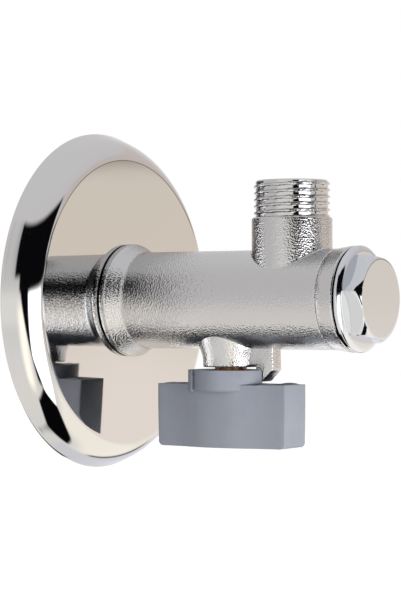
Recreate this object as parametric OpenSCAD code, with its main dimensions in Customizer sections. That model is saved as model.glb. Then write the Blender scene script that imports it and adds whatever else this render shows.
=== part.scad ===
// Filtered stop tap: a chromed brass angle valve with a wall rosette, a quarter-turn ball,
// a strainer behind the hexagon cap and a grey lever under the body.
// Frame: X runs out of the wall along the inlet, Z is up along the outlet, X = 0 is the wall.

/* [Threads and wall] */
// Crest diameter of the inlet and outlet pipe threads
pipe_thread_d = 20.955; // [16:0.005:27]
// Length of the inlet thread
inlet_thread_len = 15; // [10:0.5:20]
// How far the inlet thread stands behind the wall plane
inlet_behind_wall = 10.5; // [8:0.5:13]
// Length of the outlet thread
outlet_thread_len = 10.1; // [8:0.1:12]
// Length of the bevel that starts each pipe thread
thread_lead = 1.1; // [0.5:0.1:1.6]

/* [Rosette] */
// Outer diameter of the rosette
rosette_d = 96.6; // [90:0.2:104]
// Height of its flat face above the wall
rosette_h = 9.7; // [9:0.1:12]
// Diameter of the flat mirror face
plateau_d = 82.6; // [70:0.2:84]
// Thickness of the pressed sheet
sheet_t = 0.6; // [0.4:0.1:0.9]
// Radius of the rolled shoulder
shoulder_r = 9; // [7:0.5:11]
// Play of the rosette on the inlet thread, all round
rosette_play = 0.3; // [0.2:0.05:0.6]

/* [Body] */
// Diameter of the body tube
body_d = 27.5; // [27:0.1:29]
// Where the open end of the body lies
body_end_x = 83.6; // [82:0.1:90]
// Diameter of the body's flared open end
body_end_d = 28.9; // [28:0.1:30]
// Length of the flared end, from its scored line
body_end_len = 5.2; // [4:0.1:8]
// Depth and half width of the scored line
score_depth = 0.22; // [0.1:0.02:0.4]
// Diameter of the collar that bears on the rosette
collar_d = 32.3; // [30:0.1:36]
// Length of the collar's straight rim
collar_rim = 2.1; // [1.5:0.1:3]
// Length of the slope behind the rim
collar_slope = 4.3; // [3:0.1:6]
// Diameter of the plain neck between collar and thread
neck_d = 19.4; // [18:0.1:20]
// Where the outlet axis stands
outlet_x = 63.6; // [62.5:0.1:64.5]
// Height of the outlet's end above the inlet axis
outlet_top = 32.7; // [30:0.1:40]
// Diameter of the outlet boss below its thread
outlet_boss_d = 22.2; // [21.5:0.1:24]
// Bevel on the outlet boss
outlet_boss_bevel = 0.8; // [0.4:0.1:1.2]
// Radius of the forged fillets round the two bosses
root_fillet = 2.4; // [1.5:0.1:2.8]

/* [Water ways] */
// Bore of the inlet, the retainer and the ball
water_d = 10; // [8:0.1:11]
// Bore of the outlet
outlet_bore = 12; // [10:0.1:13]
// Bore round the ball and its seats
ball_room_d = 18.8; // [18.4:0.1:19.2]
// Bore round the strainer
strainer_room_d = 21.2; // [20.8:0.1:21.8]
// Diameter of the cap's thread in the body
cap_thread_d = 24; // [23.4:0.1:24.4]

/* [Ball and seats] */
// Where the stem axis stands
stem_x = 43.8; // [43:0.1:44.4]
// Diameter of the ball
ball_d = 17.5; // [16.6:0.1:17.8]
// Gap between the ball and its seats
ball_gap = 0.1; // [0.05:0.01:0.15]
// Thickness of each seat ring
seat_t = 3.5; // [3:0.1:3.8]
// Diameter of the opening in a seat ring
seat_hole = 10.6; // [10:0.1:11]
// Length of the threaded retainer
retainer_len = 4.6; // [4:0.1:5]
// Thread diameter of the retainer
retainer_d = 20; // [19.8:0.1:20.4]

/* [Stem] */
// Diameter of the stem
stem_d = 9; // [8:0.1:9.6]
// Running gap of the stem in its bore
stem_gap = 0.05; // [0.02:0.01:0.09]
// Diameter of the shoulder that holds the stem in
stem_shoulder_d = 11; // [10.4:0.1:11.4]
// Thickness of that shoulder
stem_shoulder_t = 1.9; // [1.4:0.1:2.1]
// Thickness of the slippery washer under it
thrust_washer_t = 0.6; // [0.4:0.1:0.8]
// Thickness of the tongue that turns the ball
tongue_t = 2.9; // [2.4:0.1:3.2]
// Width across the flats of the stem's square
square_w = 6.2; // [5.6:0.1:6.3]
// Wire diameter of the stem's rubber rings
stem_ring_w = 1.3; // [1:0.05:1.5]
// Diameter of the boss under the body
stem_boss_d = 15.6; // [14.4:0.1:17]
// Lowest face of that boss, below the inlet axis
stem_boss_bottom = 18.7; // [18.2:0.1:19.1]

/* [Stop fin] */
// Thickness of the fin that stops the lever
fin_t = 5; // [4:0.1:6]
// Reach of the fin from the stem axis
fin_reach = 15.05; // [14.5:0.05:17]
// Lowest point of the fin, below the inlet axis
fin_bottom = 22.65; // [22:0.05:23]
// Bevel on the fin's outer corner
fin_bevel = 3.2; // [1:0.1:4]
// Gap between the fin and the lever, at its stops and below
fin_gap = 0.3; // [0.2:0.05:0.5]

/* [Lever] */
// Top of the lever's hub, below the inlet axis
hub_top = 19.5; // [19.4:0.05:19.8]
// Top of the wings, below the inlet axis
wing_top = 23.45; // [23.3:0.05:24]
// Underside of the lever, below the inlet axis
lever_bottom = 40.9; // [40:0.1:46]
// Length of the lever at its top edge
lever_len = 41.3; // [38:0.1:50]
// Thickness of the wings at their ends
wing_end_t = 11.5; // [10.5:0.1:13]
// Thickness of the pillar at the middle
pillar_t = 17.2; // [16:0.1:18]
// Draft of the wing ends, in degrees
end_draft = 1.5; // [0:0.1:3]
// Radius of the lower corners
corner_r = 2; // [1:0.1:4]
// Diameter of the stop segments of the hub
hub_d = 24; // [23.6:0.1:25]
// Diameter of the hub's core
core_d = 21.7; // [21:0.1:22.4]
// How far the core reaches down over the wings
core_bottom = 25.4; // [25:0.1:27]
// Half width of the core between the stop segments
core_half = 7.1; // [6.5:0.1:8]
// How far from the middle the flanks swell into the pillar round the screw
pillar_reach = 11; // [9:0.5:13]
// Inner diameter of the stop segments, where the fin runs
track_d = 17.6; // [17:0.1:18]
// Wall of the cored wings
wing_wall = 2.2; // [1.6:0.1:2.8]
// Floor of the cored wings
wing_floor = 2.6; // [2:0.1:4]

/* [Lever screw] */
// Thread diameter of the lever screw
screw_d = 4; // [3:0.1:4.4]
// Diameter of its pan head
screw_head_d = 7.4; // [6.6:0.1:7.8]
// Height of its pan head
screw_head_h = 2.5; // [2:0.1:3]
// Thickness of the lock washer
lock_washer_t = 0.9; // [0.6:0.1:1.2]
// Diameter of the sunk hole for the head
screw_well_d = 9.2; // [8.8:0.1:10]
// Thickness of the web that the screw clamps
screw_web_t = 2; // [1.5:0.1:3]

/* [Filter cap] */
// Width across the flats of the cap's hexagon
cap_hex_af = 22.2; // [21:0.1:23.4]
// Turn of the hexagon about the inlet axis, in degrees
cap_hex_turn = 19.5; // [0:0.5:59.5]
// Where the cap's round end face lies
cap_face_x = 91.05; // [90.5:0.05:94]
// Slope of the bevel on the hexagon, in degrees
cap_bevel_angle = 35; // [20:1:40]
// Diameter of the cap's flange
cap_flange_d = 29; // [28:0.1:30]
// Thickness of the cap's flange
cap_flange_t = 1.7; // [1.4:0.1:2.4]
// Gap between the flange and the end of the body
cap_gap = 0.45; // [0.3:0.05:0.8]
// Length of the cap's thread
cap_thread_len = 6; // [5:0.1:7]
// Wire diameter of the cap's rubber ring
cap_ring_w = 1.3; // [1:0.05:1.4]

/* [Strainer] */
// Outer diameter of the mesh tube
mesh_d = 13.2; // [12.6:0.1:13.4]
// Thickness of the mesh sheet
mesh_t = 0.4; // [0.3:0.05:0.6]
// Holes round the mesh tube
mesh_holes_round = 12; // [8:1:12]
// Rows of holes along the mesh tube
mesh_rows = 8; // [5:1:8]
// Diameter of each hole
mesh_hole_d = 2; // [1:0.1:2.2]
// Outer diameter of the two crimped end rings
end_ring_d = 14.5; // [14:0.1:14.6]
// Length of each end ring
end_ring_len = 2.6; // [2:0.1:3]

/* [Hidden] */
$fn = 96;

// Slack between parts of one assembly, and the overshoot of a cut past a face
slack = 0.05;
eps = 0.5;
small_bevel = 0.4;

thread_r = pipe_thread_d / 2;
thread_start_x = -inlet_behind_wall;
thread_end_x = thread_start_x + inlet_thread_len;
collar_x = rosette_h;
tube_start_x = collar_x + collar_rim + collar_slope;
score_x = body_end_x - body_end_len;
outlet_thread_z = outlet_top - outlet_thread_len;

// The ball and what stands in line with it
ball_r = ball_d / 2;
seat_hole_depth = sqrt(ball_r * ball_r - seat_hole * seat_hole / 4);
seat_lap = 1.75;
seat_near = seat_hole_depth - seat_lap;
rear_seat_x = stem_x - seat_near - seat_t;
front_seat_x = stem_x + seat_near;
retainer_x = front_seat_x + seat_t;
retainer_end_x = retainer_x + retainer_len;
retainer_socket = 1.8;
retainer_slot_w = 2.2;
retainer_slot_depth = 1.5;
retainer_ring_w = 1;
retainer_ring_x = retainer_x + 1.5;

// The stem, measured down from the inlet axis
tongue_top = ball_r - 2.4;
shoulder_top = ball_r + 1.15;
shoulder_bottom = shoulder_top + stem_shoulder_t;
washer_bottom = shoulder_bottom + thrust_washer_t;
stem_room_d = stem_shoulder_d + 0.4;
ring_groove_w = stem_ring_w + 0.3;
upper_ring_z = washer_bottom + 1.9;
lower_ring_z = upper_ring_z + 2.5;
shaft_end = hub_top + 1;
screw_web_bottom = 35.2;
square_end = screw_web_bottom - screw_web_t - 0.2;
tap_depth = 9;

hub_r = hub_d / 2;
head_bottom = screw_web_bottom + lock_washer_t + screw_head_h;

// The cap, the strainer and their threads
flange_x = body_end_x + cap_gap;
hex_x = flange_x + cap_flange_t;
cap_thread_r = cap_thread_d / 2 - 0.07;
cap_neck_r = cap_thread_d / 2 - 0.65;
cap_thread_end_x = body_end_x - 2.1;
cap_nose_x = cap_thread_end_x - cap_thread_len;
cap_ring_seat_r = cap_neck_r + cap_ring_w + 0.1;
cap_ring_x = body_end_x - 0.35;
cap_ring_step_x = body_end_x - 1.2;
hex_corner_r = cap_hex_af / 2 / cos(30);
face_r = cap_hex_af / 2 - 0.05;
strainer_x = retainer_end_x - retainer_socket + 0.3;
strainer_end_x = hex_x + 0.6;
strainer_len = strainer_end_x - strainer_x;
end_ring_seat_d = end_ring_d + 0.2;
cap_well_x = strainer_end_x + 0.3;
mesh_margin = end_ring_len + 1.4;

chrome_satin = "silver";
chrome_bright = "gainsboro";
brass = "goldenrod";
rubber = "dimgray";
ptfe = "whitesmoke";

// A closed ring about the inlet axis: [radius, x] points turned round X
module turned_x() {
    rotate([0, 90, 0]) rotate_extrude() children();
}

// A plain bar along X
module bar_x(d, x0, x1) {
    translate([x0, 0, 0]) rotate([0, 90, 0]) cylinder(d = d, h = x1 - x0);
}

// A plain bar down from z0 to z1, both counted below the inlet axis, on the stem's axis
module stem_bar(d, z0, z1) {
    translate([stem_x, 0, -z1]) cylinder(d = d, h = z1 - z0);
}

// A rubber ring on the stem's axis
module stem_o_ring(z) {
    translate([stem_x, 0, -z])
        rotate_extrude() translate([stem_d / 2 - stem_ring_w / 2, 0]) circle(d = stem_ring_w, $fn = 32);
}

function arc_point(cx, cy, r, a) = [cx + r * cos(a), cy + r * sin(a)];

// Outer line of the rosette in [radius, x]: flat face, rolled shoulder, outward lip.
// grow moves the whole line inwards by the sheet thickness for the hollow back.
shoulder_start = 68;
shoulder_end = 24;
crown_drop = 0.45;
crown_start_r = plateau_d / 2 - 7;
shoulder_cx = plateau_d / 2 - shoulder_r * cos(shoulder_start);
shoulder_cy = rosette_h - crown_drop - shoulder_r * sin(shoulder_start);
shoulder_foot = arc_point(shoulder_cx, shoulder_cy, shoulder_r, shoulder_end);
lip_edge_x = 0.5;
module rosette_outline(grow, hole_r) {
    steps = 8;
    polygon(concat(
        [[hole_r, -eps], [hole_r, rosette_h - grow]],
        [for (k = [0:4]) let (t = k / 4)
            [crown_start_r + t * (plateau_d / 2 - grow / 2 - crown_start_r),
             rosette_h - grow - crown_drop * t * t]],
        [for (k = [1:steps]) arc_point(shoulder_cx, shoulder_cy, shoulder_r - grow,
            shoulder_start + k * (shoulder_end - shoulder_start) / steps)],
        [[(shoulder_foot[0] + rosette_d / 2) / 2 - grow * 1.1, shoulder_foot[1] * 0.38],
         [rosette_d / 2 - grow, lip_edge_x],
         [rosette_d / 2 - grow, -eps]]
    ));
}

module rosette() {
    color(chrome_bright)
    turned_x() intersection() {
        difference() {
            rosette_outline(0, thread_r + rosette_play);
            rosette_outline(sheet_t, thread_r + rosette_play - eps);
        }
        square([rosette_d, rosette_h]);
    }
}

// The forged outside of the body about the inlet axis
module body_outline() {
    rim_r = collar_d / 2;
    tube_r = body_d / 2;
    end_r = body_end_d / 2;
    slope_r = (rim_r + tube_r) / 2 + 0.55;
    slope_x = collar_x + collar_rim + collar_slope / 2;
    polygon([
        [0, thread_start_x],
        [thread_r - thread_lead, thread_start_x],
        [thread_r, thread_start_x + thread_lead],
        [thread_r, thread_end_x],
        [neck_d / 2, thread_end_x + (thread_r - neck_d / 2)],
        [neck_d / 2, collar_x],
        [rim_r - small_bevel, collar_x],
        [rim_r, collar_x + small_bevel],
        [rim_r, collar_x + collar_rim],
        [slope_r, slope_x],
        [tube_r, tube_start_x],
        [tube_r, score_x - score_depth],
        [tube_r - score_depth, score_x],
        [tube_r, score_x + score_depth],
        [tube_r + 0.5 * (end_r - tube_r), score_x + 0.6 * body_end_len],
        [end_r, body_end_x - small_bevel],
        [end_r - small_bevel / 2, body_end_x],
        [0, body_end_x]
    ]);
}

// A boss standing on the tube, turned about Z: its foot spreads out in a hollow forged
// fillet and ends on the flank of the tube
fillet_sweep = 64;
module boss_outline(r, fillet_z, top_z, bevel) {
    foot_r = r + root_fillet * 0.8;
    foot_z = sqrt(pow(body_d / 2, 2) - foot_r * foot_r) - 0.8;
    steps = 6;
    polygon(concat(
        [[0, 0], [foot_r, 0], [foot_r, foot_z]],
        [for (k = [steps:-1:0]) arc_point(r + root_fillet, fillet_z, root_fillet,
            180 + k * fillet_sweep / steps)],
        [[r, top_z - bevel], [r - bevel, top_z], [0, top_z]]
    ));
}

module outlet_boss() {
    boss_r = outlet_boss_d / 2;
    fillet_z = sqrt(pow(body_d / 2, 2) - boss_r * boss_r) + root_fillet;
    translate([outlet_x, 0, 0]) rotate_extrude()
        boss_outline(boss_r, fillet_z, outlet_thread_z, outlet_boss_bevel);
    translate([outlet_x, 0, outlet_thread_z - eps])
        cylinder(d = pipe_thread_d, h = outlet_thread_len - thread_lead + eps);
    translate([outlet_x, 0, outlet_top - thread_lead])
        cylinder(r1 = thread_r, r2 = thread_r - thread_lead, h = thread_lead);
}

module stem_boss() {
    translate([stem_x, 0, 0]) mirror([0, 0, 1]) rotate_extrude()
        boss_outline(stem_boss_d / 2, body_d / 2 + 1, stem_boss_bottom, small_bevel);
}

// The cast fin beside the stem boss, with its outer corner cut off and a step under the boss
module stop_fin() {
    step_reach = track_d / 2 + 2 * fin_gap;
    translate([stem_x, fin_t / 2, 0]) rotate([90, 0, 0]) linear_extrude(fin_t)
        polygon([
            [0, -body_d / 2 + 1], [0, -stem_boss_bottom + small_bevel],
            [step_reach, -stem_boss_bottom + small_bevel],
            [step_reach, -fin_bottom],
            [fin_reach - fin_bevel, -fin_bottom],
            [fin_reach, -fin_bottom + fin_bevel],
            [fin_reach, -body_d / 2 + 1]
        ]);
}

module valve_body() {
    room_r = strainer_room_d / 2;
    color(chrome_satin)
    difference() {
        union() {
            turned_x() body_outline();
            outlet_boss();
            stem_boss();
            stop_fin();
        }
        // The way in, the ball's room and the stepped room behind the cap
        bar_x(water_d, thread_start_x - eps, rear_seat_x + eps);
        bar_x(ball_room_d, rear_seat_x, retainer_x);
        bar_x(retainer_d, retainer_x - 0.4, retainer_end_x);
        bar_x(strainer_room_d, retainer_end_x - small_bevel, body_end_x + eps);
        bar_x(cap_thread_d, cap_nose_x - 1, body_end_x + eps);
        bar_x(2 * cap_ring_seat_r, cap_ring_step_x, body_end_x + eps);
        // The way out
        translate([outlet_x, 0, 0]) cylinder(d = outlet_bore, h = outlet_top + eps);
        // The stem's room and bore
        stem_bar(stem_room_d, 0, washer_bottom);
        stem_bar(stem_d + 2 * stem_gap, 0, stem_boss_bottom + eps);
    }
}

// A seat ring with a hollow face for the ball
module seat_ring(x0) {
    color(ptfe)
    difference() {
        bar_x(ball_room_d - 2 * slack, x0, x0 + seat_t);
        bar_x(seat_hole, x0 - eps, x0 + seat_t + eps);
        translate([stem_x, 0, 0]) sphere(r = ball_r + ball_gap);
    }
}

module rear_seat() {
    seat_ring(rear_seat_x);
}

module front_seat() {
    seat_ring(front_seat_x);
}

module ball() {
    color(chrome_bright)
    difference() {
        translate([stem_x, 0, 0]) sphere(d = ball_d);
        bar_x(water_d, stem_x - ball_r - eps, stem_x + ball_r + eps);
        // Slot for the stem's tongue, across the water way while the tap is open
        translate([stem_x - tongue_t / 2 - slack, -ball_r, -ball_r - eps])
            cube([tongue_t + 2 * slack, ball_d, ball_r + eps - tongue_top]);
    }
}

// The brass ring nut that holds the seats, with two slots for its key
module seat_retainer() {
    color(brass)
    difference() {
        bar_x(retainer_d - 2 * slack, retainer_x, retainer_end_x);
        bar_x(water_d, retainer_x - eps, retainer_end_x + eps);
        bar_x(end_ring_seat_d, retainer_end_x - retainer_socket, retainer_end_x + eps);
        translate([retainer_end_x - retainer_slot_depth, -retainer_d, -retainer_slot_w / 2])
            cube([retainer_slot_depth + eps, 2 * retainer_d, retainer_slot_w]);
        translate([retainer_ring_x, 0, 0]) turned_x()
            translate([retainer_d / 2 - retainer_ring_w, -retainer_ring_w / 2 - slack])
                square([retainer_ring_w + eps, retainer_ring_w + 2 * slack]);
    }
}

module retainer_o_ring() {
    color(rubber)
    translate([retainer_ring_x, 0, 0]) turned_x()
        translate([(retainer_d - retainer_ring_w) / 2 - slack / 2, 0])
            circle(d = retainer_ring_w - slack, $fn = 32);
}

module stem() {
    groove_r = stem_d / 2 - stem_ring_w;
    color(brass)
    difference() {
        union() {
            // Tongue in the ball's slot
            intersection() {
                translate([stem_x - tongue_t / 2, -stem_shoulder_d / 2, -shoulder_top - 0.1])
                    cube([tongue_t, stem_shoulder_d, shoulder_top + 0.1 - tongue_top - slack]);
                stem_bar(stem_shoulder_d - 2, 0, shoulder_top + eps);
            }
            stem_bar(stem_shoulder_d, shoulder_top, shoulder_bottom);
            stem_bar(stem_d, shoulder_top, shaft_end);
            translate([stem_x - square_w / 2, -square_w / 2, -square_end])
                cube([square_w, square_w, square_end - shaft_end + eps]);
        }
        for (z = [upper_ring_z, lower_ring_z])
            translate([stem_x, 0, -z]) rotate_extrude()
                translate([groove_r, -ring_groove_w / 2]) square([stem_ring_w + eps, ring_groove_w]);
        stem_bar(screw_d, square_end - tap_depth, square_end + eps);
    }
}

module stem_thrust_washer() {
    color(ptfe)
    difference() {
        stem_bar(stem_shoulder_d, shoulder_bottom, washer_bottom);
        stem_bar(stem_d + 2 * stem_gap, shoulder_bottom - eps, washer_bottom + eps);
    }
}

module upper_stem_o_ring() {
    color(rubber) stem_o_ring(upper_ring_z);
}

module lower_stem_o_ring() {
    color(rubber) stem_o_ring(lower_ring_z);
}

// Half the thickness of the lever at a distance from its axis: a round pillar in the middle
// that runs out into the wings in hollow flanks
function swell(x) = 1 / (1 + pow(abs(x) / pillar_reach, 3));
function half_thickness(x) = let (end = swell(lever_len / 2))
    wing_end_t / 2 + (pillar_t - wing_end_t) / 2 * (swell(x) - end) / (1 - end);
module wing_plan(inset, x0, x1) {
    steps = 16;
    xs = [for (k = [0:steps]) x0 + k * (x1 - x0) / steps];
    polygon(concat(
        [for (x = xs) [x, half_thickness(x) - inset]],
        [for (k = [steps:-1:0]) [xs[k], inset - half_thickness(xs[k])]]
    ));
}

// Outline of the lever seen from the side: drafted ends and round lower corners
module wing_side() {
    half_top = lever_len / 2;
    drop = lever_bottom - wing_top;
    half_low = half_top - drop * tan(end_draft);
    corner_x = half_low - corner_r;
    difference() {
        polygon([[-half_top, -wing_top], [half_top, -wing_top], [half_low, -lever_bottom],
                 [-half_low, -lever_bottom]]);
        for (side = [-1, 1])
            difference() {
                translate([side * (corner_x + corner_r), -lever_bottom])
                    square(2 * corner_r, center = true);
                translate([side * corner_x, -lever_bottom + corner_r]) circle(r = corner_r, $fn = 48);
            }
    }
}

// Plan of the stop segments: a ring cut back to the core in front and behind,
// and open over the quarter turn that the fin sweeps
module hub_plan() {
    difference() {
        circle(r = hub_r);
        for (side = [-1, 1])
            translate([-core_half, side > 0 ? 0 : -hub_r - eps]) square([2 * core_half, hub_r + eps]);
    }
    circle(d = core_d);
}

// Free corner for the fin: its two walls stop the lever a quarter turn apart
module fin_track_plan() {
    stop = fin_t / 2 + fin_gap;
    difference() {
        translate([-stop, -stop]) square(2 * hub_r);
        circle(d = track_d);
    }
}

module handle() {
    pocket_start = hub_r + small_bevel;
    pocket_end = lever_len / 2 - wing_wall - small_bevel;
    color("slategray")
    translate([stem_x, 0, 0])
    difference() {
        union() {
            intersection() {
                translate([0, 0, -lever_bottom - eps]) linear_extrude(lever_bottom - wing_top + eps)
                    wing_plan(0, -lever_len / 2, lever_len / 2);
                translate([0, pillar_t, 0]) rotate([90, 0, 0]) linear_extrude(2 * pillar_t) wing_side();
            }
            difference() {
                translate([0, 0, -wing_top]) linear_extrude(wing_top - hub_top) hub_plan();
                translate([0, 0, -wing_top]) linear_extrude(wing_top) fin_track_plan();
            }
            translate([0, 0, -core_bottom]) cylinder(d = core_d, h = core_bottom - wing_top);
        }
        // Cored wings, open towards the body
        for (side = [0, 180]) rotate(side)
            translate([0, 0, -lever_bottom + wing_floor]) linear_extrude(lever_bottom)
                wing_plan(wing_wall, pocket_start, pocket_end);
        // Socket for the stem and its square
        translate([0, 0, -shaft_end]) cylinder(d = stem_d + 2 * slack, h = shaft_end);
        translate([-square_w / 2 - slack, -square_w / 2 - slack, -screw_web_bottom + screw_web_t])
            cube([square_w + 2 * slack, square_w + 2 * slack, screw_web_bottom - screw_web_t]);
        // Hole and well for the screw
        translate([0, 0, -screw_web_bottom - eps]) cylinder(d = screw_d + 0.4, h = screw_web_t + 2 * eps);
        translate([0, 0, -lever_bottom - eps])
            cylinder(d = screw_well_d, h = lever_bottom - screw_web_bottom + eps);
    }
}

module handle_screw() {
    head_top = screw_web_bottom + lock_washer_t;
    recess_w = 1;
    recess_len = 4.4;
    color(chrome_bright)
    difference() {
        union() {
            stem_bar(screw_d - 2 * slack, square_end - tap_depth + 1, head_top + eps);
            translate([stem_x, 0, -head_bottom])
                cylinder(d1 = screw_head_d - 1.2, d2 = screw_head_d, h = 0.6);
            stem_bar(screw_head_d, head_top, head_bottom - 0.6);
        }
        for (turn = [0, 90])
            translate([stem_x, 0, -head_bottom]) rotate(turn)
                translate([-recess_len / 2, -recess_w / 2, -eps]) cube([recess_len, recess_w, 1.6 + eps]);
    }
}

// Split spring washer under the screw's head
module screw_lock_washer() {
    split_w = 0.6;
    color(chrome_satin)
    difference() {
        stem_bar(screw_head_d - 0.2, screw_web_bottom, screw_web_bottom + lock_washer_t);
        stem_bar(screw_d + 0.3, screw_web_bottom - eps, screw_web_bottom + lock_washer_t + eps);
        translate([stem_x, -split_w / 2, -screw_web_bottom - lock_washer_t - eps])
            cube([screw_head_d, split_w, lock_washer_t + 2 * eps]);
    }
}

// Rolled stainless sheet with rows of round holes, set off by half a step from row to row
module strainer_mesh() {
    pitch = (strainer_len - 2 * mesh_margin) / (mesh_rows - 1);
    step = 360 / mesh_holes_round;
    color("lightsteelblue")
    difference() {
        bar_x(mesh_d, strainer_x, strainer_end_x);
        bar_x(mesh_d - 2 * mesh_t, strainer_x - eps, strainer_end_x + eps);
        for (row = [0:mesh_rows - 1], hole = [0:mesh_holes_round - 1])
            translate([strainer_x + mesh_margin + row * pitch, 0, 0])
                rotate([(hole + (row % 2) / 2) * step, 0, 0])
                    translate([0, 0, mesh_d / 2 - mesh_t - eps])
                        cylinder(d = mesh_hole_d, h = mesh_t + 2 * eps, $fn = 24);
    }
}

module strainer_end_ring(x0) {
    color(chrome_satin)
    difference() {
        bar_x(end_ring_d, x0, x0 + end_ring_len);
        bar_x(mesh_d, x0 - eps, x0 + end_ring_len + eps);
    }
}

module strainer_inner_ring() {
    strainer_end_ring(strainer_x);
}

module strainer_outer_ring() {
    strainer_end_ring(strainer_end_x - end_ring_len);
}

// The cap: a hexagon with a bevelled round face, a flange, a neck and a hollow threaded nose
module filter_cap() {
    bevel_len = (hex_corner_r - face_r) * tan(cap_bevel_angle);
    nose_room_d = cap_thread_d - 5;
    color(chrome_bright)
    difference() {
        union() {
            intersection() {
                translate([hex_x - 0.1, 0, 0]) rotate([90, 0, 90]) rotate(90 + cap_hex_turn)
                    cylinder(r = hex_corner_r, h = cap_face_x - hex_x + 0.1, $fn = 6);
                turned_x() polygon([
                    [0, hex_x - 0.1], [hex_corner_r + 0.1, hex_x - 0.1],
                    [hex_corner_r + 0.1, cap_face_x - bevel_len - 0.1 * tan(cap_bevel_angle)],
                    [face_r, cap_face_x], [0, cap_face_x]
                ]);
            }
            turned_x() polygon([
                [0, cap_nose_x],
                [cap_thread_r - small_bevel, cap_nose_x],
                [cap_thread_r, cap_nose_x + small_bevel],
                [cap_thread_r, cap_thread_end_x],
                [cap_neck_r, cap_thread_end_x + 0.3],
                [cap_neck_r, flange_x],
                [cap_flange_d / 2 - small_bevel, flange_x],
                [cap_flange_d / 2, flange_x + small_bevel],
                [cap_flange_d / 2, hex_x - small_bevel],
                [cap_flange_d / 2 - small_bevel, hex_x],
                [0, hex_x]
            ]);
        }
        bar_x(nose_room_d, cap_nose_x - eps, cap_thread_end_x);
        bar_x(end_ring_seat_d, cap_nose_x - eps, cap_well_x);
    }
}

module cap_o_ring() {
    color(rubber)
    translate([cap_ring_x, 0, 0]) turned_x()
        translate([cap_neck_r + cap_ring_w / 2, 0]) circle(d = cap_ring_w, $fn = 32);
}

rosette();
valve_body();
rear_seat();
ball();
front_seat();
seat_retainer();
retainer_o_ring();
stem();
stem_thrust_washer();
upper_stem_o_ring();
lower_stem_o_ring();
handle();
handle_screw();
screw_lock_washer();
strainer_mesh();
strainer_inner_ring();
strainer_outer_ring();
filter_cap();
cap_o_ring();
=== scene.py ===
import math

import bmesh
import bpy
from mathutils import Matrix, Vector


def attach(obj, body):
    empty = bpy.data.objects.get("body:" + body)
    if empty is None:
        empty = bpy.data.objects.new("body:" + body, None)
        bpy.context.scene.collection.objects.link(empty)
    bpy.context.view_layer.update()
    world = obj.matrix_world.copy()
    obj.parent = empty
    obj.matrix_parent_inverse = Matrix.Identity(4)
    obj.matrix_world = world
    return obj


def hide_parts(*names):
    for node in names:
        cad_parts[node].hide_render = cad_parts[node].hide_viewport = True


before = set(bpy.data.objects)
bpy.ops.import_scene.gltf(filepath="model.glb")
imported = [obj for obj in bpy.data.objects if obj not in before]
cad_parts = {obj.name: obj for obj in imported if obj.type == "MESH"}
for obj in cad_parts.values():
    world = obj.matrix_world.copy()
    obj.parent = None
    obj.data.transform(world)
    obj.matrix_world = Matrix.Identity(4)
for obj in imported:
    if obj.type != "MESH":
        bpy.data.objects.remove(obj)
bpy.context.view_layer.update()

# Valve body: one hot brass forging. The tube, the collar that bears on the rosette, the two
# bosses and the stop fin come out of one die and are sand-blasted, the threads and the end
# faces are cut afterwards, and all of it is chromed satin.
mm = 0.001
outlet_x = 63.6
stem_x = 43.8
tube_r = 13.75
collar_r = 16.13
body_end = 83.6
shoulder_z = 22.6
pipe_thread_r = 10.4775
pipe_pitch = 1.814


def lathe(outline, steps=160, along_x=False, at=(0, 0, 0)):
    """A solid turned on the lathe from its outline of (radius, length) points, in mm."""
    bm = bmesh.new()
    corners = [bm.verts.new((r * mm, 0, z * mm)) for r, z in outline]
    if outline[0][0] > 0:
        corners.append(corners[0])
    sides = [bm.edges.new(pair) for pair in zip(corners, corners[1:])]
    bmesh.ops.spin(bm, geom=list(bm.verts) + sides, cent=(0, 0, 0), axis=(0, 0, 1),
                   dvec=(0, 0, 0), angle=math.tau, steps=steps, use_merge=True)
    bmesh.ops.remove_doubles(bm, verts=bm.verts, dist=1e-7)
    bmesh.ops.dissolve_degenerate(bm, edges=bm.edges, dist=1e-8)
    if along_x:
        bmesh.ops.transform(bm, matrix=Matrix.Rotation(math.pi / 2, 4, "Y"), verts=bm.verts)
    bmesh.ops.translate(bm, vec=Vector(at) * mm, verts=bm.verts)
    bmesh.ops.recalc_face_normals(bm, faces=bm.faces)
    return bm


def smooth_shade(bm, sharp):
    """Shades a bmesh smooth, with every edge above the given angle left sharp."""
    bm.normal_update()
    for face in bm.faces:
        face.smooth = True
    for edge in bm.edges:
        bend = edge.calc_face_angle(math.pi)
        edge.smooth = len(edge.link_faces) == 2 and bend < math.radians(sharp)


def as_object(bm, name, sharp=30):
    """Ends a bmesh as an object of its own."""
    bmesh.ops.recalc_face_normals(bm, faces=bm.faces)
    smooth_shade(bm, sharp)
    mesh = bpy.data.meshes.new(name)
    bm.to_mesh(mesh)
    bm.free()
    piece = bpy.data.objects.new(name, mesh)
    bpy.context.scene.collection.objects.link(piece)
    return piece


def apply_modifiers(piece):
    """Turns what a piece's modifiers make into its own mesh."""
    bpy.context.view_layer.update()
    shape = piece.evaluated_get(bpy.context.evaluated_depsgraph_get())
    piece.data = bpy.data.meshes.new_from_object(shape)
    piece.modifiers.clear()


def combine(piece, other, operation, sharp=30):
    """Joins another solid to a piece, or cuts it out, and marks the piece's edges anew."""
    cut = piece.modifiers.new("cut", "BOOLEAN")
    cut.operation = operation
    cut.solver = "MANIFOLD"
    cut.object = other
    apply_modifiers(piece)
    bpy.data.objects.remove(other)
    bm = bmesh.new()
    bm.from_mesh(piece.data)
    bmesh.ops.remove_doubles(bm, verts=bm.verts, dist=2e-7)
    bmesh.ops.dissolve_degenerate(bm, edges=bm.edges, dist=2e-7)
    smooth_shade(bm, sharp)
    bm.to_mesh(piece.data)
    bm.free()
    return piece


def crown(r, top, round_r):
    """The rounded top edge of a boss, as outline points."""
    turns = [math.radians(a) for a in range(0, 91, 15)]
    return [(r - round_r + round_r * math.cos(a), top - round_r + round_r * math.sin(a)) for a in turns]


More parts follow.
